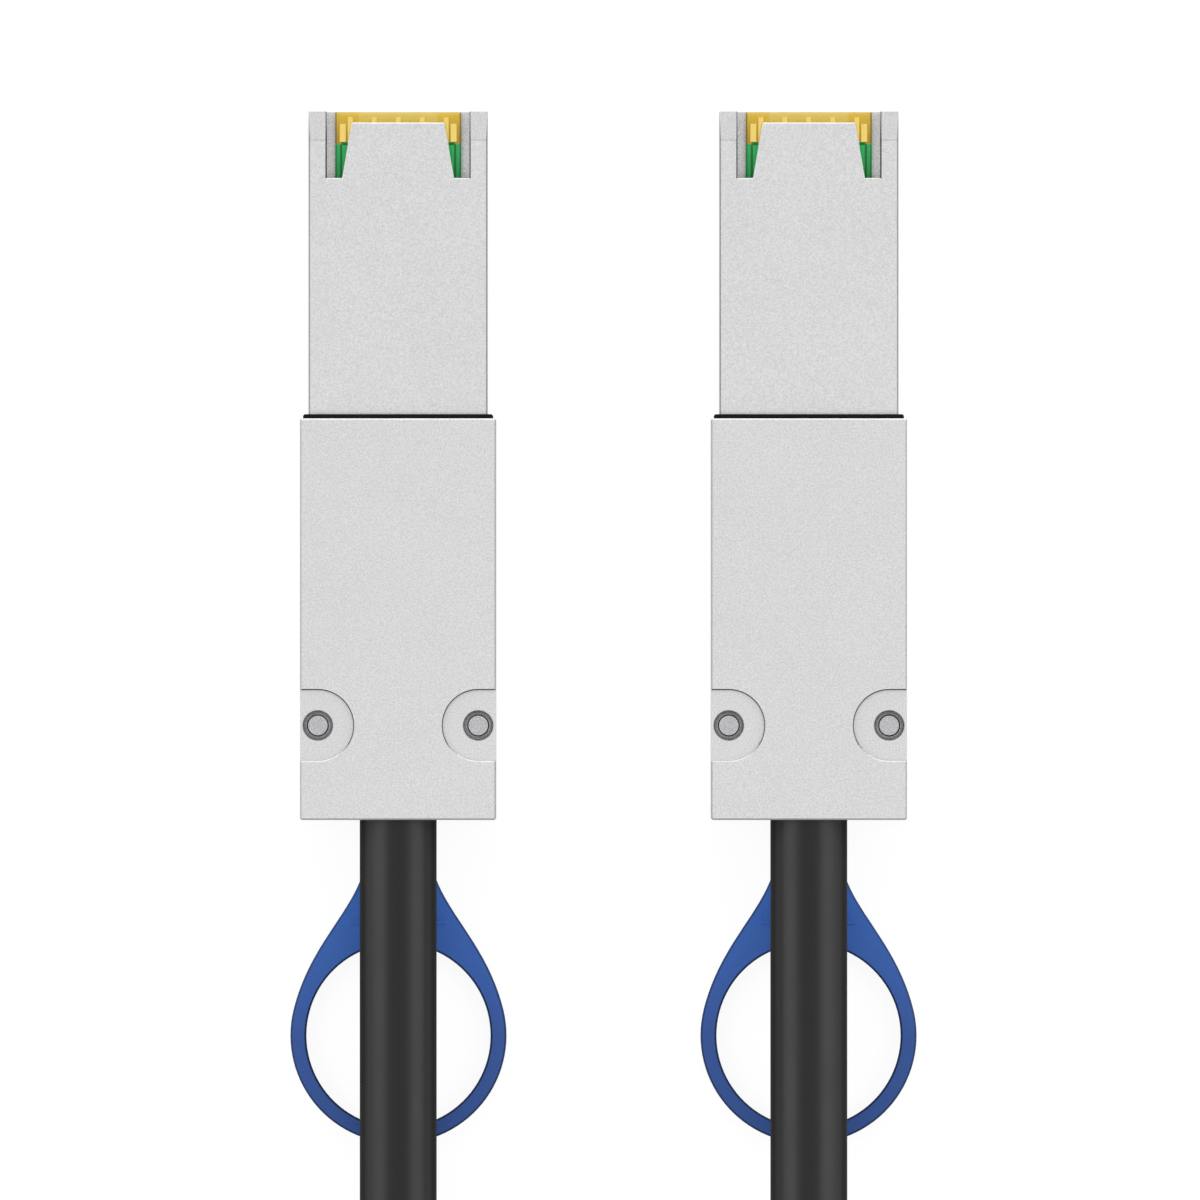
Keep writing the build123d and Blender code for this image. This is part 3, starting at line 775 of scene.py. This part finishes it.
def build_rivet_group():
    """Rivet with a coned, dished head at each end"""
    group, given, result = start_group(
        "Rivet",
        [
            ("Places", "NodeSocketGeometry", None),
            ("Length", "NodeSocketFloat", 11.0 * MM),
            ("Shank Radius", "NodeSocketFloat", 1.0 * MM),
            ("Head Radius", "NodeSocketFloat", 1.5 * MM),
            ("Flat Radius", "NodeSocketFloat", 1.1 * MM),
            ("Head Height", "NodeSocketFloat", 0.45 * MM),
            ("Groove", "NodeSocketFloat", 0.3 * MM),
            ("Material", "NodeSocketMaterial", None),
        ],
        [("Geometry", "NodeSocketGeometry")],
        "GeometryNodeTree",
    )
    groove_taper, disc_taper = 0.97, 0.915
    half = calculate(group, "MULTIPLY", given.outputs["Length"], 0.5)
    straight = calculate(group, "SUBTRACT", half, given.outputs["Head Height"])
    shank = add_node(
        group, "GeometryNodeMeshCylinder",
        {
            "Vertices": 48, "Radius": given.outputs["Shank Radius"],
            "Depth": calculate(group, "MULTIPLY", straight, 2.0),
        },
    )
    ends = add_node(
        group, "FunctionNodeBooleanMath",
        {0: shank.outputs["Top"], 1: shank.outputs["Bottom"]}, operation="OR",
    ).outputs[0]

    def step_out(shape, ends, rise, ratio):
        grown = add_node(
            group, "GeometryNodeExtrudeMesh",
            {"Mesh": shape, "Selection": ends, "Offset Scale": rise, "Individual": False}, mode="FACES",
        )
        sized = add_node(
            group, "GeometryNodeScaleElements",
            {"Geometry": grown.outputs["Mesh"], "Selection": grown.outputs["Top"], "Scale": ratio},
        )
        return sized.outputs[0], grown.outputs["Top"]

    def ratio_of(first, second):
        return calculate(group, "DIVIDE", given.outputs[first], given.outputs[second])

    downward = calculate(group, "MULTIPLY", given.outputs["Groove"], -1.0)
    shape, ends = step_out(shank.outputs["Mesh"], ends, 0.0, ratio_of("Head Radius", "Shank Radius"))
    shape, ends = step_out(shape, ends, given.outputs["Head Height"], ratio_of("Flat Radius", "Head Radius"))
    shape, ends = step_out(shape, ends, downward, groove_taper)
    shape, ends = step_out(shape, ends, given.outputs["Groove"], disc_taper)
    link_instances(group, given, result, shape)
    return group


def rounded_loop(inner, outer, bottom, top, corner, rise, tail):
    """Outline (radius, height, angle) of a strap round the coil, its end laid over its start"""
    corners = [
        (outer - corner, top - corner),
        (outer - corner, bottom + corner),
        (inner + corner, bottom + corner),
        (inner + corner, top - corner),
        (outer - corner, top - corner),
    ]
    steps = 8
    points = []
    for quarter, (radius, height) in enumerate(corners):
        reach = corner + (rise if quarter == len(corners) - 1 else 0.0)
        for step in range(steps + 1):
            angle = radians(90 - 90 * quarter - 90 * step / steps)
            points.append((radius + reach * cos(angle), height + reach * sin(angle), angle))
    radius, height, angle = points[-1]
    points.append((radius, height - tail, angle))
    return points


def skin_rings(name, rings):
    """Closed mesh through rings of four corners, with both ends capped"""
    shape = bmesh.new()
    rows = [[shape.verts.new(corner) for corner in ring] for ring in rings]
    for first, second in zip(rows, rows[1:]):
        for index in range(4):
            after = (index + 1) % 4
            shape.faces.new((first[index], first[after], second[after], second[index]))
    shape.faces.new(rows[0])
    shape.faces.new(rows[-1])
    bmesh.ops.recalc_face_normals(shape, faces=shape.faces)
    mesh = bpy.data.meshes.new(name)
    shape.to_mesh(mesh)
    shape.free()
    return mesh


def bowed_strip(name, low, high, thickness):
    """Mesh of a strip that bows forward from its two ends, within the box from low to high"""
    steps = 32
    half_chord = (high.x - low.x) / 2
    rise = high.y - low.y - thickness / 4
    bend = (half_chord ** 2 + rise ** 2) / (2 * rise)
    sweep = asin(half_chord / bend)
    middle = (low.x + high.x) / 2
    rings = []
    for step in range(steps + 1):
        angle = sweep * (2 * step / steps - 1)
        rings.append([
            (middle + reach * sin(angle), high.y - bend + reach * cos(angle), height)
            for reach, height in (
                (bend, low.z), (bend, high.z), (bend - thickness, high.z), (bend - thickness, low.z),
            )
        ])
    mesh = skin_rings(name, rings)
    mesh.shade_smooth()
    mesh.set_sharp_from_angle(angle=radians(40))
    return mesh


class CABLE_OT_set_stage(bpy.types.Operator):
    """Adds the floor, the lamps, the world and the camera"""

    bl_idname = "cable.set_stage"
    bl_label = "Set Stage"

    def execute(self, context):
        self.hang_camera(context)
        self.lay_floor(context)
        self.hang_lamps(context)
        self.light_world(context)
        context.scene.view_settings.view_transform = "Standard"
        return {"FINISHED"}

    def hang_camera(self, context):
        sizes = context.scene.cable_sizes
        aside, behind_shoulder = -0.35 * MM, 18.155 * MM
        view_centre = Vector((aside, shoulder_y - behind_shoulder, left_body_high.z))
        camera = bpy.data.cameras.new("Camera")
        camera.sensor_width = 36.0
        camera.lens = camera.sensor_width * sizes.camera_height / sizes.view_width
        camera.clip_end = 20.0
        holder = bpy.data.objects.new("Camera", camera)
        context.scene.collection.objects.link(holder)
        holder.location = view_centre + Vector((0, 0, sizes.camera_height))
        context.scene.camera = holder

    def lay_floor(self, context):
        reach = 2.0
        drop = -0.05 * MM
        lit_white, shadow_share, glow = 0.8, 0.14, 0.91
        mesh = bpy.data.meshes.new("floor")
        corners = ((-reach, -reach), (reach, -reach), (reach, reach), (-reach, reach))
        mesh.from_pydata([(x, y, drop) for x, y in corners], [], [(0, 1, 2, 3)])
        floor = bpy.data.objects.new("floor", mesh)
        context.scene.collection.objects.link(floor)
        material, tree, shader, _ = start_material("White Floor")
        path = tree.nodes.new("ShaderNodeLightPath").outputs
        seen = calculate(tree, "MAXIMUM", path["Is Camera Ray"], self.mirrored_rays(tree, path))
        tree.links.new(choose(tree, seen, lit_white, shadow_share), shader.inputs["Base Color"])
        shader.inputs["Roughness"].default_value = 1.0
        shader.inputs["Specular IOR Level"].default_value = 0.0
        shader.inputs["Emission Color"].default_value = (1, 1, 1, 1)
        tree.links.new(calculate(tree, "MULTIPLY", seen, glow), shader.inputs["Emission Strength"])
        mesh.materials.append(material)

    def mirrored_rays(self, tree, path):
        """1 for what a mirror or glass shows, and 0 for the light itself"""
        return calculate(tree, "MAXIMUM", path["Is Glossy Ray"], path["Is Transmission Ray"])

    def hang_lamps(self, context):
        softboxes = {
            "left_softbox": ((-0.88, 0.12, 0.47), 1.25, 54),
            "right_softbox": ((0.88, 0.12, 0.47), 1.25, 54),
            "top_softbox": ((0.0, 0.75, 0.66), 0.3, 40),
        }
        for name, (toward, strength, spread) in softboxes.items():
            lamp = bpy.data.lights.new(name, "SUN")
            lamp.energy = strength
            lamp.angle = radians(spread)
            holder = bpy.data.objects.new(name, lamp)
            holder.rotation_mode = "QUATERNION"
            holder.rotation_quaternion = Vector(toward).to_track_quat("Z", "Y")
            context.scene.collection.objects.link(holder)

    def light_world(self, context):
        """Pale ceiling with a low glow beyond the noses; the camera sees plain white"""
        ceiling, horizon, glow, light_share = 0.92, 0.12, 1.6, 0.7
        world = bpy.data.worlds.new("Studio")
        world.use_nodes = True
        tree = world.node_tree
        background = tree.nodes["Background"]
        path = tree.nodes.new("ShaderNodeLightPath").outputs
        direction = split_vector(tree, tree.nodes.new("ShaderNodeTexCoord").outputs["Generated"])
        height, away = direction["Z"], direction["Y"]
        overhead = remap(tree, height, 0.05, 0.55, horizon, ceiling)
        beyond = remap(tree, away, 0.45, 0.85, 0.0, glow)
        low = remap(tree, height, 0.15, 0.4, 1.0, 0.0)
        bright = calculate(tree, "MAXIMUM", overhead, calculate(tree, "MULTIPLY", beyond, low))
        share = choose(tree, self.mirrored_rays(tree, path), light_share, 1.0)
        lit = calculate(tree, "MULTIPLY", bright, share)
        strength = calculate(tree, "MAXIMUM", lit, path["Is Camera Ray"])
        tree.links.new(strength, background.inputs["Strength"])
        background.inputs["Color"].default_value = (1, 1, 1, 1)
        context.scene.world = world


class CABLE_OT_lay_cord(bpy.types.Operator):
    """Lays the cord from plug to plug, with its spare length coiled"""

    bl_idname = "cable.lay_cord"
    bl_label = "Lay Cord"

    def execute(self, context):
        sizes = context.scene.cable_sizes
        points = [Vector(point) * MM for point in LEFT_ROUTE]
        points += coil_points(sizes)
        points += [Vector(point) * MM for point in reversed(RIGHT_ROUTE)]
        curve = bpy.data.curves.new("cord", "CURVE")
        curve.dimensions = "3D"
        curve.bevel_depth = sizes.cord_diameter / 2
        curve.bevel_resolution = 8
        curve.resolution_u = 10
        curve.use_fill_caps = True
        spline = curve.splines.new("NURBS")
        spline.points.add(len(points) - 1)
        for target, point in zip(spline.points, points):
            target.co = (*point, 1.0)
        spline.order_u = 3
        spline.use_endpoint_u = True
        cord = bpy.data.objects.new("cord", curve)
        context.scene.collection.objects.link(cord)
        curve.materials.append(
            get_material("Cord Jacket", make_jacket, context.scene.cable_colours.jacket)
        )
        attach(cord, "cable")
        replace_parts(cord, "left_lead", "right_lead", "cable_coil")
        return {"FINISHED"}


def coil_points(sizes):
    """Control points of the coil: inwards on the floor, up one diameter, and outwards on top"""
    layer_span = (COIL_SPAN - COIL_CLIMB) / 2
    spread = sizes.turn_pitch * layer_span / 360
    level = sizes.cord_diameter / 2
    step_angle = (COIL_SPAN - 2 * COIL_MARGIN) / COIL_STEPS
    # The spline cuts inside its points, so they stand a little further out, and higher over the strap
    widening = 1 / cos(radians(step_angle / 2))
    overshoot, tie_gap = 1.2, 0.05 * MM
    lift = overshoot * (sizes.tie_thickness + tie_gap)
    points = []
    for step in range(COIL_STEPS + 1):
        travelled = COIL_MARGIN + step * step_angle
        inward = min(travelled, layer_span) / layer_span
        outward = max(0.0, travelled - layer_span - COIL_CLIMB) / layer_span
        climbed = min(max((travelled - layer_span) / COIL_CLIMB, 0.0), 1.0)
        radius = (sizes.outer_turn_radius - spread * (inward - outward)) * widening
        angle = radians(COIL_ENTRY + travelled)
        near_tie = max(0.0, cos(angle - radians(TIE_ANGLE))) ** 4
        points.append(
            Vector((
                coil_middle.x + radius * cos(angle),
                coil_middle.y + radius * sin(angle),
                level + climbed * sizes.cord_diameter + near_tie * lift,
            ))
        )
    return points


class CABLE_OT_tie_coil(bpy.types.Operator):
    bl_idname = "cable.tie_coil"
    bl_label = "Tie Coil"

    def execute(self, context):
        sizes = context.scene.cable_sizes
        coil_reach = coil_middle.y - coil_low.y
        inner_inset, outer_inset = 18.8 * MM, 2.4 * MM
        over_turns = 0.25 * MM
        above_floor = 0.02 * MM
        overlap_gap = 0.05 * MM
        tail = 5 * MM
        thickness = sizes.tie_thickness
        outline = rounded_loop(
            coil_reach - inner_inset, coil_reach - outer_inset, thickness + above_floor,
            coil_high.z + thickness + over_turns, sizes.cord_diameter / 2, thickness + overlap_gap, tail,
        )
        half = sizes.tie_width / 2
        rings = []
        for radius, height, angle in outline:
            ring = []
            for raised, side in ((0, -half), (0, half), (thickness, half), (thickness, -half)):
                reach = radius + raised * cos(angle)
                ring.append((coil_middle.x + side, coil_middle.y - reach, height + raised * sin(angle)))
            rings.append(ring)
        mesh = skin_rings("coil_tie", rings)
        mesh.materials.append(get_material("Tie Strap", make_tie_cloth, context.scene.cable_colours.tie))
        tie = add_piece("coil_tie", mesh, "cable")
        edge = tie.modifiers.new("Soft Edge", "BEVEL")
        edge.width = 0.12 * MM
        edge.segments = 2
        return {"FINISHED"}


class CABLE_OT_finish_shells(bpy.types.Operator):
    """Gives the die-cast shells and the gasket their finish"""

    bl_idname = "cable.finish_shells"
    bl_label = "Finish Shells"

    def execute(self, context):
        colours = context.scene.cable_colours
        casting = get_material("Plated Die Cast", make_die_cast, colours.die_cast)
        gasket = get_material("Gasket Elastomer", make_gasket, colours.gasket)
        for side in SIDES:
            cover_nodes(side, ("cover_shell", "latch_shell"), casting)
            cover_nodes(side, ("shield_gasket",), gasket)
        return {"FINISHED"}


def set_fasteners(context, group, head_radius, solid, piece, list_places):
    """Grows the like fasteners of each plug in place of their solid"""
    steel = get_material("Rivet Steel", make_rivet_metal, context.scene.cable_colours.rivet)
    for side in SIDES:
        node, name = f"{side}_{solid}", f"{side}_{piece}"
        low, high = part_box(node)
        columns = (low.x + head_radius, high.x - head_radius)
        values = {"Length": high.z - low.z, "Head Radius": head_radius, "Material": steel}
        mesh = grow_from_points(name, list_places(columns, low, high), group, values)
        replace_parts(add_piece(name, mesh, "cable"), node)


class CABLE_OT_set_rivets(bpy.types.Operator):
    """Sets the two rear rivets of each plug"""

    bl_idname = "cable.set_rivets"
    bl_label = "Set Rivets"

    def execute(self, context):
        def list_places(columns, low, high):
            middle = (low + high) / 2
            return [(x, middle.y, middle.z) for x in columns]

        set_fasteners(context, build_rivet_group(), 1.5 * MM, "shell_rivets", "rivet_pair", list_places)
        return {"FINISHED"}


class CABLE_OT_drive_screws(bpy.types.Operator):
    """Drives the four screws of each latch cover"""

    bl_idname = "cable.drive_screws"
    bl_label = "Drive Screws"

    def execute(self, context):
        head_radius = 1.3 * MM

        def list_places(columns, low, high):
            rows = (low.y + head_radius, high.y - head_radius)
            return [(x, y, low.z) for x in columns for y in rows]

        set_fasteners(context, build_screw_group(), head_radius, "cover_screws", "screw_set", list_places)
        return {"FINISHED"}


class CABLE_OT_finish_card(bpy.types.Operator):
    """Gives the circuit cards, their contacts and the wires behind them their finish"""

    bl_idname = "cable.finish_card"
    bl_label = "Finish Cards"

    def execute(self, context):
        colours = context.scene.cable_colours
        all_round, round_sleeve = (1.0, 1.0, 1.0), (0.05, 1.0, 0.05)
        card = get_material("Circuit Card", make_circuit_card, colours.solder_mask, colours.bare_card)
        gold = get_material("Contact Gold", make_contact_gold, colours.contact)
        foil = get_material(
            "Pair Foil", make_brushed_metal, "Pair Foil", colours.pair_foil, all_round, 0.2, 0.4, 0.5,
        )
        nickel = get_material(
            "Ferrule Nickel", make_brushed_metal,
            "Ferrule Nickel", colours.ferrule, round_sleeve, 0.25, 0.4, 0.3,
        )
        for side in SIDES:
            cover_nodes(side, ("paddle_card",), card)
            cover_nodes(side, ("card_contacts",), gold)
            cover_nodes(side, ("wire_pairs",), foil)
            cover_nodes(side, ("crimp_ferrule",), nickel)
        return {"FINISHED"}


class CABLE_OT_finish_latch(bpy.types.Operator):
    """Gives the latch, its slider, pin and cover their finish, and bows the return springs"""

    bl_idname = "cable.finish_latch"
    bl_label = "Finish Latch"

    def execute(self, context):
        lengthwise = (1.0, 0.03, 1.0)
        stainless = get_material(
            "Brushed Stainless", make_brushed_metal,
            "Brushed Stainless", context.scene.cable_colours.stainless, lengthwise, 0.26, 0.4, 0.3,
        )
        for side in SIDES:
            cover_nodes(side, ("latch_plate", "latch_pin", "pull_slider", "latch_cover"), stainless)
            node = f"{side}_return_spring"
            low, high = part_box(node)
            mesh = bowed_strip(f"{side}_return_strip", low, high, context.scene.cable_sizes.spring_strip)
            mesh.materials.append(stainless)
            strip = add_piece(f"{side}_return_strip", mesh, "cable")
            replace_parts(strip, node)
            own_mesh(strip)
        return {"FINISHED"}


class CABLE_OT_finish_tabs(bpy.types.Operator):
    """Gives the moulded pull tabs their finish"""

    bl_idname = "cable.finish_tabs"
    bl_label = "Finish Pull Tabs"

    def execute(self, context):
        plastic = get_material("Tab Plastic", make_tab_plastic, context.scene.cable_colours.tab)
        for side in SIDES:
            cover_nodes(side, ("pull_tab",), plastic)
        return {"FINISHED"}


OPERATORS = (
    CABLE_OT_set_stage,
    CABLE_OT_lay_cord,
    CABLE_OT_tie_coil,
    CABLE_OT_finish_shells,
    CABLE_OT_set_rivets,
    CABLE_OT_drive_screws,
    CABLE_OT_finish_card,
    CABLE_OT_finish_latch,
    CABLE_OT_finish_tabs,
)


class CABLE_PT_sidebar(bpy.types.Panel):
    """Lists the steps that finish the cable"""

    bl_idname = "CABLE_PT_sidebar"
    bl_label = "Latching Plug Cable"
    bl_space_type = "VIEW_3D"
    bl_region_type = "UI"
    bl_category = "Cable"

    def draw(self, context):
        for operator in OPERATORS:
            self.layout.operator(operator.bl_idname)
        for settings in (context.scene.cable_sizes, context.scene.cable_colours):
            column = self.layout.column()
            for name in settings.bl_rna.properties.keys():
                if name not in ("rna_type", "name"):
                    column.prop(settings, name)


CLASSES = (CableSizes, CableColours, *OPERATORS, CABLE_PT_sidebar)


def register():
    for cls in CLASSES:
        bpy.utils.register_class(cls)
    bpy.types.Scene.cable_sizes = PointerProperty(type=CableSizes)
    bpy.types.Scene.cable_colours = PointerProperty(type=CableColours)


def unregister():
    del bpy.types.Scene.cable_colours
    del bpy.types.Scene.cable_sizes
    for cls in reversed(CLASSES):
        bpy.utils.unregister_class(cls)


def main():
    register()
    for operator in OPERATORS:
        group, name = operator.bl_idname.split(".")
        getattr(getattr(bpy.ops, group), name)()


if __name__ == "__main__":
    main()
